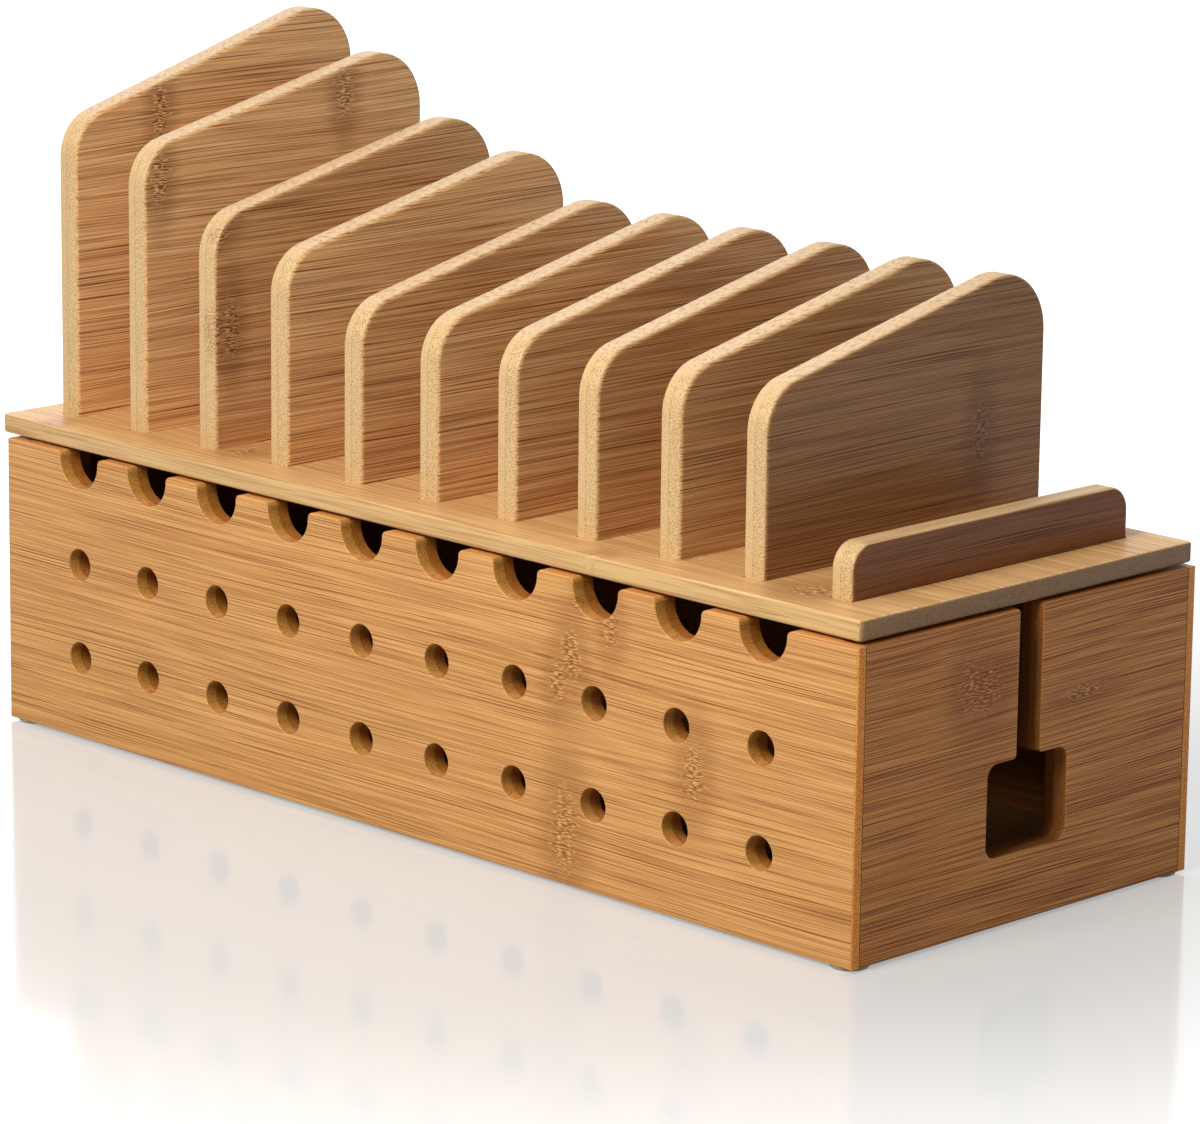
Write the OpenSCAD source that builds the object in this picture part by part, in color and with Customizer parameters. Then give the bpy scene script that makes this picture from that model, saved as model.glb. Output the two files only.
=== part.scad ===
// Bamboo charging station organizer: a cable box with a lift-off lid that carries ten dividers.
// Frame: +X along the length towards the keyhole end, -Y is the notched front, +Z up.
// The origin is at the middle of the footprint, at the level of the surface it stands on.

/* [Box] */
// Length of the box, end face to end face
body_l = 420; // [360:1:480]
// Depth of the box, front face to back face
body_w = 166; // [150:1:200]
// Height of the box walls
panel_h = 105; // [95:1:130]
// Thickness of the wall, divider and stop boards
board_t = 9.5; // [8.5:0.1:11]
// Thickness of the lip that covers the edge of an end panel
lip_t = 3.8; // [3:0.1:5]
// Hairline between a lip and the end panel that it covers
joint_gap = 0.3; // [0.1:0.1:0.5]
// Rounding of the long edges of the boards
edge_r = 1; // [0.5:0.1:1.4]

/* [Bottom board] */
// Thickness of the bottom board
bottom_t = 4; // [3:0.5:6]
// Depth of the groove that holds the bottom board
groove_depth = 4; // [3:0.1:4.4]
// Height of the bottom board's underside above the lower edge of the walls
groove_up = 5; // [4:0.5:10]

/* [Cable notches and vents] */
// Width of a cable notch
notch_w = 20.6; // [16:0.1:24]
// Depth of a cable notch below the top edge
notch_depth = 12.4; // [12.1:0.1:20]
// Radius of the flare at the mouth of a notch
notch_flare_r = 2; // [1:0.1:3]
// Diameter of a vent hole
vent_d = 11.6; // [8:0.1:16]
// Height of the upper vent row above the lower edge of the wall
vent_upper_h = 64.5; // [58:0.5:68]
// Height of the lower vent row above the lower edge of the wall
vent_lower_h = 29.8; // [26:0.5:40]
// Distance from an end face to the first notch and vent
vent_end_in = 40.7; // [32:0.1:50]

/* [Keyhole for the power cord] */
// Width of the slot that runs down from the top edge
key_slot_w = 11.2; // [8:0.1:16]
// Width of the square hole for the plug
key_hole_w = 39; // [30:0.5:50]
// Height of the square hole
key_hole_h = 31.5; // [25:0.5:38]
// Height of the hole's lower edge above the lower edge of the wall
key_hole_up = 23.5; // [20:0.5:35]
// Radius of the hole's corners
key_corner_r = 4.5; // [2:0.1:6]
// Radius of the small corners where slot, hole and top edge meet
key_edge_r = 1.5; // [0.5:0.1:2.5]

/* [Lid plate] */
// Thickness of the lid plate
lid_t = 7; // [6:0.1:10]
// How far a centred lid stands out past each end face
lid_over_end = 2.25; // [0:0.05:4]
// How far a centred lid stands back from the front and back faces
lid_in_side = 1.5; // [0.5:0.1:3]
// Corner radius of the lid in plan
lid_corner_r = 2; // [1.5:0.1:6]
// Depth of the grooves that seat the dividers
dado_depth = 2; // [1:0.1:3]
// Clearance round a board in its groove
dado_gap = 0.1; // [0.05:0.05:0.2]

/* [Dividers] */
// Front height of the first divider above the lid
divider_1_h = 107.5; // [90:0.5:130]
// Front height of the second divider
divider_2_h = 102; // [85:0.5:125]
// Front height of the third divider
divider_3_h = 82; // [70:0.5:100]
// Front height of the fourth divider
divider_4_h = 74; // [60:0.5:90]
// Front height of the other dividers
short_divider_h = 61; // [45:0.5:80]
// Rise of the first divider's top edge from front to back
end_divider_rise = 39; // [20:0.5:50]
// Rise of the other dividers' top edges from front to back
divider_rise = 30; // [15:0.5:40]
// Radius of the front top corner of a divider
front_corner_r = 17; // [8:0.5:25]
// Radius of the back top corner of a divider
back_corner_r = 21; // [10:0.5:28]
// Rounding of a divider's and the stop's long edges
divider_edge_r = 1.5; // [0.5:0.1:3]
// Distance from the left end of the lid to the first divider
row_in_left = 14.5; // [10:0.5:25]
// Distance from the right end of the lid to the stop
row_in_right = 18.5; // [12:0.5:30]
// Distance from the front edge of the lid to the dividers
row_in_front = 16; // [10:0.5:25]
// Distance from the back edge of the lid to the dividers
row_in_back = 12; // [8:0.5:20]

/* [Stop rail] */
// Height of the low stop above the lid
stop_h = 18; // [12:0.5:40]
// Radius of the stop's top corners
stop_corner_r = 8.5; // [3:0.5:11]

/* [Lid cleats and corner blocks] */
// Side of a square corner block inside the box
block_w = 12; // [8:0.5:16]
// Width of a cleat under the lid
cleat_w = 12; // [10:0.5:18]
// Height of a cleat under the lid
cleat_h = 8; // [6:0.5:12]
// Play of the centred lid towards each end panel
play_x = 4; // [1:0.1:6]
// Play of the centred lid between the corner blocks
play_y = 1.6; // [1:0.1:4]
// Clearance left where the loose lid is pushed to the left and back
rest_gap = 0.4; // [0.3:0.1:0.8]

/* [Pads and feet] */
// Diameter of a pad that carries the lid
pad_d = 9; // [6:0.5:12]
// Thickness of a pad, which is the gap under the lid
pad_t = 1; // [0.5:0.1:2]
// Diameter of a foot
foot_d = 13; // [9:0.5:14]
// Height of a foot
foot_h = 1.2; // [1:0.1:4]
// Width of the bevel round the foot of a bumper
foot_bevel = 0.8; // [0.3:0.1:0.9]

/* [Screws] */
// Shank diameter of a wood screw
screw_d = 3; // [2.5:0.1:3.5]
// Head diameter of a wood screw
screw_head_d = 6; // [5:0.1:7]
// Length of a divider screw under its head
divider_screw_l = 18; // [12:0.5:30]
// Length of a cleat screw under its head
cleat_screw_l = 12; // [9:0.5:12]
// Distance of the screws from the ends of the board that they hold
screw_in = 25; // [15:0.5:40]
// Clearance round a screw in its hole
screw_gap = 0.05; // [0.02:0.01:0.1]

/* [Hidden] */
$fn = 48;

slots = 10;
// Overshoot of a cut past the face that it opens
cut = 1;

wall_z = foot_h;
wall_top_z = wall_z + panel_h;
lid_z = wall_top_z + pad_t;
lid_top_z = lid_z + lid_t;

body_x = body_l / 2;
body_y = body_w / 2;
vent_pitch = (body_l - 2 * vent_end_in) / (slots - 1);

// The box opening inside the boards
mouth_x = body_x - board_t;
mouth_y = body_y - board_t;

lid_l = body_l + 2 * lid_over_end;
lid_w = body_w - 2 * lid_in_side;
lid_shift_x = -(play_x - rest_gap);
lid_shift_y = play_y - rest_gap;
lid_x0 = lid_shift_x - lid_l / 2;
lid_y0 = lid_shift_y - lid_w / 2;

divider_d = lid_w - row_in_front - row_in_back;
divider_y0 = lid_y0 + row_in_front;
divider_pitch = (lid_l - row_in_left - row_in_right - board_t) / slots;

cleat_l = 2 * (mouth_y - block_w - play_y);
cleat_out = mouth_x - play_x;

screw_head_h = (screw_head_d - screw_d) / 2;
screw_tip_l = screw_d;

// The lid lies off centre, so the middle of the whole footprint is beside the middle of the box
origin_x = (min(-body_x, lid_x0) + max(body_x, lid_x0 + lid_l)) / 2;

wall_color = "#D9A25F";
end_color = "#A9743F";
lid_color = "#E3B878";
divider_color = "#B57E45";
inner_color = "#C99A5E";
bumper_color = "#D8D2C4";
steel_color = "#B9BCC0";

function divider_name(i) = str("divider_", i < 10 ? "0" : "", i);
function divider_h(i) =
    i <= 4 ? [divider_1_h, divider_2_h, divider_3_h, divider_4_h][i - 1] : short_divider_h;
function rise(i) = i == 1 ? end_divider_rise : divider_rise;
// Left face of board i of the row, where the stop is the last board
function divider_x(i) = lid_x0 + row_in_left + (i - 1) * divider_pitch;

// Rectangle with its corner at the origin and four round corners
module round_rect(size, r) {
    translate([r, 0]) square([size.x - 2 * r, size.y]);
    translate([0, r]) square([size.x, size.y - 2 * r]);
    for (x = [r, size.x - r], y = [r, size.y - r])
        translate([x, y]) circle(r);
}

// Rectangle with round corners on its top edge only
module round_top_rect(size, r) {
    square([size.x, size.y - r]);
    translate([r, 0]) square([size.x - 2 * r, size.y]);
    for (x = [r, size.x - r])
        translate([x, size.y - r]) circle(r);
}

// What a cut takes away so that the corner beside it becomes round.
// The corner of the material is at the origin, and the material lies towards +X and -Y.
module corner_relief(r) {
    difference() {
        translate([-cut, -r]) square([r + cut, r + cut]);
        translate([r, -r]) circle(r);
        translate([r, -r - cut]) square([cut, 2 * cut + r]);
    }
}

// Outline in Y and Z drawn in X and Y, stood up and given its thickness along +X
module stand_across(thickness) {
    rotate([90, 0, 90]) linear_extrude(thickness) children();
}

// Outline in X and Z drawn in X and Y, stood up and given its thickness along +Y
module stand_along(thickness) {
    translate([0, thickness, 0]) rotate([90, 0, 0]) linear_extrude(thickness) children();
}

module screw(length) {
    tip_z = length - screw_tip_l;
    rotate_extrude() polygon([
        [0, 0], [screw_head_d / 2, 0], [screw_d / 2, screw_head_h],
        [screw_d / 2, tip_z], [0, length]]);
}

// Countersunk hole that a screw of this length fills with its clearance
module screw_hole(length) {
    r = screw_d / 2 + screw_gap;
    translate([0, 0, -cut]) cylinder(r = screw_head_d / 2 + screw_gap, h = cut);
    cylinder(r1 = screw_head_d / 2 + screw_gap, r2 = r, h = screw_head_h);
    cylinder(r = r, h = length + screw_gap);
}

// Places of the screws that hold board i of the row to the lid
module at_divider_screws(i) {
    for (y = [divider_y0 + screw_in, divider_y0 + divider_d - screw_in])
        translate([divider_x(i) + board_t / 2, y, lid_z]) children();
}

// Places of the screws that hold a cleat to the lid, on the cleat's underside
module at_cleat_screws(side) {
    for (y = [-cleat_l / 2 + screw_in, cleat_l / 2 - screw_in])
        translate([lid_shift_x + side * (cleat_out - cleat_w / 2), lid_shift_y + y, lid_z - cleat_h])
            children();
}

// Long wall drawn with its outer face at Y = 0 and its inner face at Y = board_t
module long_wall_blank() {
    translate([-body_x, 0, wall_z]) intersection() {
        linear_extrude(panel_h) translate([0, board_t]) mirror([0, 1])
            round_top_rect([body_l, board_t], edge_r);
        stand_across(body_l) round_top_rect([board_t, panel_h], edge_r);
    }
}

// Rebates for the end panels and the groove for the bottom board, cut into a long wall
module long_wall_joints() {
    for (side = [0, 1]) mirror([side, 0, 0])
        translate([mouth_x, lip_t, wall_z - cut])
            cube([board_t + cut, board_t, panel_h + 2 * cut]);
    translate([-mouth_x - cut, board_t - groove_depth, wall_z + groove_up])
        cube([2 * (mouth_x + cut), groove_depth + cut, bottom_t]);
}

// One cable notch in X and Z, with the wall's top edge at Y = 0
module notch_outline() {
    r = notch_w / 2;
    translate([0, r - notch_depth]) circle(r);
    translate([-r, r - notch_depth]) square([notch_w, notch_depth - r + cut]);
    translate([r, 0]) corner_relief(notch_flare_r);
    mirror([1, 0]) translate([r, 0]) corner_relief(notch_flare_r);
}

module front_panel() color(wall_color) translate([-origin_x, -body_y, 0]) difference() {
    long_wall_blank();
    long_wall_joints();
    for (i = [0 : slots - 1]) translate([-body_x + vent_end_in + i * vent_pitch, 0, 0]) {
        translate([0, -cut, wall_top_z]) stand_along(board_t + 2 * cut) notch_outline();
        for (z = [vent_lower_h, vent_upper_h])
            translate([0, -cut, wall_z + z]) rotate([-90, 0, 0])
                cylinder(d = vent_d, h = board_t + 2 * cut);
    }
}

module back_panel() color(wall_color) translate([-origin_x, body_y, 0]) mirror([0, 1, 0])
    difference() {
        long_wall_blank();
        long_wall_joints();
    }

// Plain end wall with its outer face at X = body_x, between the lips of the long walls
module end_wall() {
    end_w = body_w - 2 * (lip_t + joint_gap);
    difference() {
        translate([mouth_x, -end_w / 2, wall_z]) intersection() {
            cube([board_t, end_w, panel_h]);
            stand_along(end_w) round_top_rect([board_t, panel_h], edge_r);
        }
        translate([mouth_x - cut, -end_w / 2 - cut, wall_z + groove_up])
            cube([groove_depth + cut, end_w + 2 * cut, bottom_t]);
    }
}

// Keyhole in Y and Z, with the wall's lower edge at Y = 0
module keyhole_outline() {
    hole_top = key_hole_up + key_hole_h;
    translate([-key_hole_w / 2, key_hole_up]) round_rect([key_hole_w, key_hole_h], key_corner_r);
    translate([-key_slot_w / 2, hole_top - key_corner_r])
        square([key_slot_w, panel_h - hole_top + key_corner_r + cut]);
    for (side = [0, 1]) mirror([side, 0]) {
        translate([key_slot_w / 2, panel_h]) corner_relief(key_edge_r);
        translate([key_slot_w / 2, hole_top]) mirror([0, 1]) corner_relief(key_edge_r);
    }
}

module left_end_panel() color(end_color) translate([-origin_x, 0, 0]) mirror([1, 0, 0]) end_wall();

module right_end_panel() color(end_color) translate([-origin_x, 0, 0]) difference() {
    end_wall();
    translate([mouth_x - cut, 0, wall_z]) stand_across(board_t + 2 * cut) keyhole_outline();
}

module bottom_board() color(inner_color) {
    half_l = mouth_x + groove_depth - joint_gap;
    half_w = mouth_y + groove_depth - joint_gap;
    translate([-origin_x - half_l, -half_w, wall_z + groove_up])
        cube([2 * half_l, 2 * half_w, bottom_t]);
}

// Glue block in a corner of the box, standing on the bottom board
module corner_block(sx, sy) color(inner_color) {
    z0 = wall_z + groove_up + bottom_t;
    translate([-origin_x + sx * (mouth_x - block_w / 2), sy * (mouth_y - block_w / 2), z0])
        linear_extrude(wall_top_z - z0) square(block_w, center = true);
}

// Low bumper under a corner of the walls
module foot(sx, sy) color(bumper_color) {
    foot_in = foot_d / 2 + joint_gap;
    translate([-origin_x + sx * (body_x - foot_in), sy * (body_y - foot_in), 0])
        rotate_extrude() polygon([
            [0, 0], [foot_d / 2 - foot_bevel, 0], [foot_d / 2, foot_bevel],
            [foot_d / 2, foot_h], [0, foot_h]]);
}

module lid_pads() color(bumper_color)
    for (sx = [-1, 1], sy = [-1, 1])
        translate([-origin_x + sx * (mouth_x - block_w / 2), sy * (mouth_y - block_w / 2), wall_top_z])
            cylinder(d = pad_d, h = pad_t);

// Lid plate with every edge eased, grooves for the row of boards and holes for the screws
module lid_plate() color(lid_color) translate([-origin_x, 0, 0]) difference() {
    translate([lid_x0, lid_y0, lid_z]) intersection() {
        linear_extrude(lid_t) round_rect([lid_l, lid_w], lid_corner_r);
        stand_across(lid_l) round_rect([lid_w, lid_t], edge_r);
        stand_along(lid_w) round_rect([lid_l, lid_t], edge_r);
    }
    for (i = [1 : slots + 1]) {
        translate([divider_x(i) - dado_gap, divider_y0 - dado_gap, lid_top_z - dado_depth])
            cube([board_t + 2 * dado_gap, divider_d + 2 * dado_gap, dado_depth + cut]);
        at_divider_screws(i) screw_hole(divider_screw_l);
    }
    for (side = [-1, 1]) at_cleat_screws(side) screw_hole(cleat_screw_l);
}

// Side view of a board of the row in Y and Z, from the groove up, drawn in by inset.
// The lid's surface is at Y = 0, and each top corner is an arc that is tangent to both edges.
module board_outline(front_h, up, front_r, back_r, inset) {
    a = atan(up / divider_d);
    front_c = [front_r, front_h + front_r * tan(a) - front_r / cos(a)];
    back_c = [divider_d - back_r, front_h + (divider_d - back_r) * tan(a) - back_r / cos(a)];
    normal = [-sin(a), cos(a)];
    polygon([
        [inset, -dado_depth], [inset, front_c.y],
        front_c + (front_r - inset) * normal, back_c + (back_r - inset) * normal,
        [divider_d - inset, back_c.y], [divider_d - inset, -dado_depth]]);
    translate(front_c) circle(front_r - inset);
    translate(back_c) circle(back_r - inset);
}

// Board of the row with quarter-round edges, and pilot holes for its screws
module row_board(i, front_h, up, front_r, back_r) {
    r = divider_edge_r;
    difference() {
        translate([divider_x(i) + board_t / 2, divider_y0, lid_top_z]) hull()
            for (turn = [0 : 30 : 90]) {
                layer_t = board_t - 2 * r * (1 - sin(turn));
                translate([-layer_t / 2, 0, 0]) stand_across(layer_t)
                    board_outline(front_h, up, front_r, back_r, r * (1 - cos(turn)));
            }
        at_divider_screws(i) screw_hole(divider_screw_l);
    }
}

module divider(i) color(divider_color) translate([-origin_x, 0, 0])
    row_board(i, divider_h(i), rise(i), front_corner_r, back_corner_r);

module end_stop() color(divider_color) translate([-origin_x, 0, 0])
    row_board(slots + 1, stop_h, 0, stop_corner_r, stop_corner_r);

// Cleat under the lid, which keeps the lid in the mouth of the box
module cleat(side) color(inner_color) translate([-origin_x, 0, 0]) difference() {
    translate([lid_shift_x + side * (cleat_out - cleat_w / 2) - cleat_w / 2,
               lid_shift_y - cleat_l / 2, lid_z - cleat_h])
        cube([cleat_w, cleat_l, cleat_h]);
    at_cleat_screws(side) screw_hole(cleat_screw_l);
}

module divider_screws() color(steel_color) translate([-origin_x, 0, 0])
    for (i = [1 : slots + 1]) at_divider_screws(i) screw(divider_screw_l);

module cleat_screws() color(steel_color) translate([-origin_x, 0, 0])
    for (side = [-1, 1]) at_cleat_screws(side) screw(cleat_screw_l);

front_panel();
back_panel();
left_end_panel();
right_end_panel();
bottom_board();
corner_block(-1, -1);  // corner_block_front_left
corner_block(1, -1);  // corner_block_front_right
corner_block(-1, 1);  // corner_block_back_left
corner_block(1, 1);  // corner_block_back_right
foot(-1, -1);  // foot_front_left
foot(1, -1);  // foot_front_right
foot(-1, 1);  // foot_back_left
foot(1, 1);  // foot_back_right
lid_pads();
lid_plate();
for (i = [1 : slots]) divider(i);
end_stop();
cleat(-1);  // left_cleat
cleat(1);  // right_cleat
divider_screws();
cleat_screws();
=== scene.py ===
"""Dresses the packed charging station organizer in bamboo and stands it in a plain studio."""

import math

import bmesh
import bpy
from bpy.props import FloatProperty, FloatVectorProperty, IntProperty, PointerProperty
from mathutils import Matrix, Vector
from mathutils.geometry import tessellate_polygon


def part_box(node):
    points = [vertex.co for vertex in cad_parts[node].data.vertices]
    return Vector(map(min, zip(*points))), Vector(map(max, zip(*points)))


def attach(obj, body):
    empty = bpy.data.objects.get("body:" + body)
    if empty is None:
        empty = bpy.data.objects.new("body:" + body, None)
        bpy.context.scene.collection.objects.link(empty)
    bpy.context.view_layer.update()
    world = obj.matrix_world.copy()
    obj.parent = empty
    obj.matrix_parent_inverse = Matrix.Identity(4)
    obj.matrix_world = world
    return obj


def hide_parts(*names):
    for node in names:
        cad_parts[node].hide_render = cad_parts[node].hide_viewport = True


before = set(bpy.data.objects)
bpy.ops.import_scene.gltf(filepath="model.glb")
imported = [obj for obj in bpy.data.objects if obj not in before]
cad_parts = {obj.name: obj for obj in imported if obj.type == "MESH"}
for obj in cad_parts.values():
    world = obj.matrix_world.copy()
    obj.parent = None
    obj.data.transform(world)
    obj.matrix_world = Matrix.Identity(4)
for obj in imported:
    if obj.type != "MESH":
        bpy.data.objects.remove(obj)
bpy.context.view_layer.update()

bl_info = {
    "name": "Bamboo charging station organizer",
    "version": (1, 0, 0),
    "blender": (4, 5, 0),
    "location": "3D View > Sidebar > Station",
    "description": "Builds the boards, bumpers, screws and studio round the packed model",
    "category": "Object",
}

MM = 0.001
MATH, RANGE, MIX, VECTOR = "ShaderNodeMath", "ShaderNodeMapRange", "ShaderNodeMix", "ShaderNodeVectorMath"
FRONT_LOW, FRONT_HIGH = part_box("front_panel")
BACK_LOW, BACK_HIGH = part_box("back_panel")
LEFT_LOW, LEFT_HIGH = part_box("left_end_panel")
RIGHT_LOW, RIGHT_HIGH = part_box("right_end_panel")
FLOOR_BOARD_LOW, FLOOR_BOARD_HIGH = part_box("bottom_board")
LID_LOW, LID_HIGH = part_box("lid_plate")
STOP_LOW, STOP_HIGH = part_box("end_stop")
FIRST_LOW, FIRST_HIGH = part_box("divider_01")
SECOND_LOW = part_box("divider_02")[0]
FOOT_LOW, FOOT_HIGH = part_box("foot_front_left")
FOOT_FAR_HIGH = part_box("foot_back_right")[1]
PADS_LOW, PADS_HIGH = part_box("lid_pads")
CLEAT_LOW, CLEAT_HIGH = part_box("left_cleat")
RIGHT_CLEAT_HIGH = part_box("right_cleat")[1]
SCREWS_LOW, SCREWS_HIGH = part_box("divider_screws")
CLEAT_SCREWS_LOW, CLEAT_SCREWS_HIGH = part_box("cleat_screws")
DIVIDERS = sorted(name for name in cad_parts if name.startswith("divider_") and name[-2:].isdigit())


def length(name, description, millimetres):
    """A size that the user can change, in metres."""
    return FloatProperty(
        name=name, description=description, default=millimetres * MM, min=0.0, precision=4,
        subtype="DISTANCE", unit="LENGTH")


def linear(hex_colour):
    """Turns an sRGB hex colour into the linear values that Blender renders with."""
    parts = [int(hex_colour[i : i + 2], 16) / 255 for i in (1, 3, 5)]
    return tuple(p / 12.92 if p <= 0.04045 else ((p + 0.055) / 1.055) ** 2.4 for p in parts)


def colour(name, description, hex_colour):
    """A colour that the user can change."""
    return FloatVectorProperty(
        name=name, description=description, default=linear(hex_colour), size=3,
        min=0.0, max=1.0, subtype="COLOR")


class WallSizes(bpy.types.PropertyGroup):
    """Sizes of the four walls of the box."""

    edge_ease: length("Edge rounding", "Radius of the outer edges of a wall", 1.0)
    hole_ease: length("Hole rounding", "Radius of the rims of vents, notches and keyhole", 0.5)
    lip: length("Lip", "Thickness of the lip over an end wall's edge", 3.8)
    groove_depth: length("Groove depth", "Depth of the groove for the bottom board", 4.0)
    notch_width: length("Notch width", "Width of a cable notch", 20.6)
    notch_depth: length("Notch depth", "Depth of a cable notch below the top edge", 12.4)
    notch_flare: length("Notch flare", "Radius where a notch meets the top edge", 2.0)
    vent_diameter: length("Vent diameter", "Diameter of a vent hole", 11.6)
    vent_in: length("Vent inset", "From an end face to the first notch and vent", 40.7)
    vent_upper: length("Upper vents", "Height of the upper vents above the wall's foot", 64.5)
    vent_lower: length("Lower vents", "Height of the lower vents above the wall's foot", 29.8)
    vents: IntProperty(name="Vents", description="Vents in a row", default=10, min=1)
    slot_width: length("Cord slot", "Width of the slot for the power cord", 11.2)
    plug_width: length("Plug hole width", "Width of the square hole", 39.0)
    plug_height: length("Plug hole height", "Height of the square hole", 31.5)
    plug_up: length("Plug hole sill", "Height of the square hole's lower edge", 23.5)
    plug_corner: length("Plug hole corners", "Corner radius of the square hole", 4.5)
    slot_corner: length("Slot corners", "Radius of the small corners of the slot", 1.5)


class LidSizes(bpy.types.PropertyGroup):
    """Sizes of the lid plate and of what is cut into it."""

    edge_ease: length("Edge rounding", "Radius of the long edges of the lid", 1.0)
    corner: length("Corner radius", "Corner radius of the lid seen from above", 2.0)
    seat_depth: length("Seat depth", "Depth of the grooves that hold the dividers", 2.0)
    seat_gap: length("Seat gap", "Clearance round a divider in its groove", 0.1)


class DividerSizes(bpy.types.PropertyGroup):
    """Sizes of the row of dividers and of the low stop."""

    heights: FloatVectorProperty(
        name="Front heights", description="Front heights of the first five dividers above the lid",
        size=5, default=(0.1075, 0.102, 0.082, 0.074, 0.061), subtype="NONE", unit="LENGTH")
    first_rise: length("First rise", "Rise of the first divider's top edge to the back", 39.0)
    rise: length("Rise", "Rise of the other dividers' top edges to the back", 30.0)
    front_corner: length("Front corner", "Radius of the front top corner", 17.0)
    back_corner: length("Back corner", "Radius of the back top corner", 21.0)
    stop_corner: length("Stop corner", "Radius of the stop's top corners", 8.5)
    edge_ease: length("Edge rounding", "Radius of the long edges of a divider", 1.5)


class HardwareSizes(bpy.types.PropertyGroup):
    """Sizes of the stick-on bumpers and the wood screws."""

    bumper_ease: length("Bumper edge", "Radius of the edge of a bumper", 0.7)
    screw_diameter: length("Screw diameter", "Diameter of a screw's shank", 3.0)
    head_diameter: length("Head diameter", "Diameter of a screw's head", 6.0)
    drive: length("Drive", "Width across the cross recess", 3.4)


class BambooColours(bpy.types.PropertyGroup):
    """Colours of the lacquered bamboo boards."""

    wall_pale: colour("Wall, pale", "Pale fibres on the walls", "#DCAB6C")
    wall_brown: colour("Wall, brown", "Brown fibres on the walls", "#C58C4F")
    wall_line: colour("Wall, lines", "Dark lines on the walls", "#8A5326")
    end_pale: colour("End wall, pale", "Pale fibres on the end walls", "#EAA55A")
    end_brown: colour("End wall, brown", "Brown fibres on the end walls", "#D0853F")
    end_line: colour("End wall, lines", "Dark lines on the end walls", "#8C4A1E")
    wall_edge: colour("Wall, edges", "Sawn edges and ends of the walls", "#D59959")
    wall_end: colour("Wall, ends", "End grain of the walls", "#FFA74C")
    # Wall, holes is painted shade: the end grain inside the notches and vents, darker and duller than at the walls'
    # ends
    wall_hole_shade: colour("Wall, holes", "End grain in the notches and vents", "#BC8944")
    # The keyhole colour is painted shade: the edges and ends inside the keyhole, darker than the end wall's faces
    keyhole: colour("Keyhole", "Edges and ends inside the keyhole", "#99622F")
    # The inner shade is painted shade: a darker, duller tint over the walls' inner ply, inside the box
    inner_shade: colour("Inner ply", "Tint of the walls' inner ply", "#DCC8B0")
    lid_pale: colour("Lid, pale", "Pale fibres on the lid", "#F0C990")
    lid_brown: colour("Lid, brown", "Brown fibres on the lid", "#D6A266")
    lid_line: colour("Lid, lines", "Dark lines on the lid", "#9A6233")
    lid_edge: colour("Lid, edges", "Long edges of the lid", "#CFAD79")
    lid_end: colour("Lid, ends", "End grain of the lid", "#A07C58")
    board_pale: colour("Divider, pale", "Pale fibres on the dividers", "#FACD96")
    board_brown: colour("Divider, brown", "Brown fibres on the dividers", "#E0A86D")
    board_line: colour("Divider, lines", "Dark lines on the dividers", "#7E4E27")
    edge: colour("Edges", "Sawn edges along the grain", "#D6B586")
    end_grain: colour("End grain", "Sawn ends of the dividers", "#D2B485")
    # The raw colours are painted darker than the lacquered boards, as shade inside the box
    raw_shaded_pale: colour("Raw, pale", "Pale fibres of the boards inside the box", "#B08A58")
    raw_shaded_brown: colour("Raw, brown", "Brown fibres of the boards inside the box", "#8F6840")


class StudioSettings(bpy.types.PropertyGroup):
    """The plain studio and its camera."""

    floor: colour("Floor", "Colour of the floor", "#9EA1A1")
    key_power: FloatProperty(name="Key light", description="Power of the key light", default=17.0, unit="POWER")
    left_power: FloatProperty(name="Left light", description="Power of the left light", default=8.0, unit="POWER")
    top_power: FloatProperty(name="Top light", description="Power of the top light", default=7.0, unit="POWER")
    sky: FloatProperty(name="Sky", description="Strength of the even light all round", default=0.2)
    camera_place: FloatVectorProperty(
        name="Camera", description="Place of the camera", size=3,
        default=(1.30784, -1.29399, 0.52045), subtype="TRANSLATION", unit="LENGTH")
    camera_turn: FloatVectorProperty(
        name="Camera turn", description="Turn of the camera", size=3,
        default=tuple(math.radians(a) for a in (76.40662, -0.5102, 45.72987)), subtype="EULER")
    focal_length: FloatProperty(name="Focal length", description="Focal length for a 36 mm sensor",
                                default=162.34)


# Helpers for nodes and pieces

def add(tree, kind, feeds=(), **settings):
    """Adds a node, makes its settings, and feeds its inputs, in order or by name, from values, nodes or sockets."""
    made = tree.nodes.new(kind)
    for setting, value in settings.items():
        setattr(made, setting, value)
    open_inputs = [socket for socket in made.inputs if socket.enabled]
    if isinstance(feeds, dict):
        pairs = [(made.inputs[key], value) for key, value in feeds.items()]
    else:
        pairs = list(zip(open_inputs, feeds))
    for socket, value in pairs:
        if isinstance(value, bpy.types.Node):
            value = next(output for output in value.outputs if output.enabled)
        if isinstance(value, bpy.types.NodeSocket):
            tree.links.new(value, socket)
        else:
            socket.default_value = value
    return made


def new_piece(name, mesh):
    """Puts a mesh into the scene as a piece."""
    piece = bpy.data.objects.new(name, mesh)
    bpy.context.scene.collection.objects.link(piece)
    return piece


def settle(piece):
    """Turns a piece's live modifiers into its plain mesh."""
    bpy.context.view_layer.update()
    solved = piece.evaluated_get(bpy.context.evaluated_depsgraph_get())
    mesh = bpy.data.meshes.new_from_object(solved)
    piece.modifiers.clear()
    piece.data = mesh
    mesh.name = piece.name
    return piece


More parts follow.
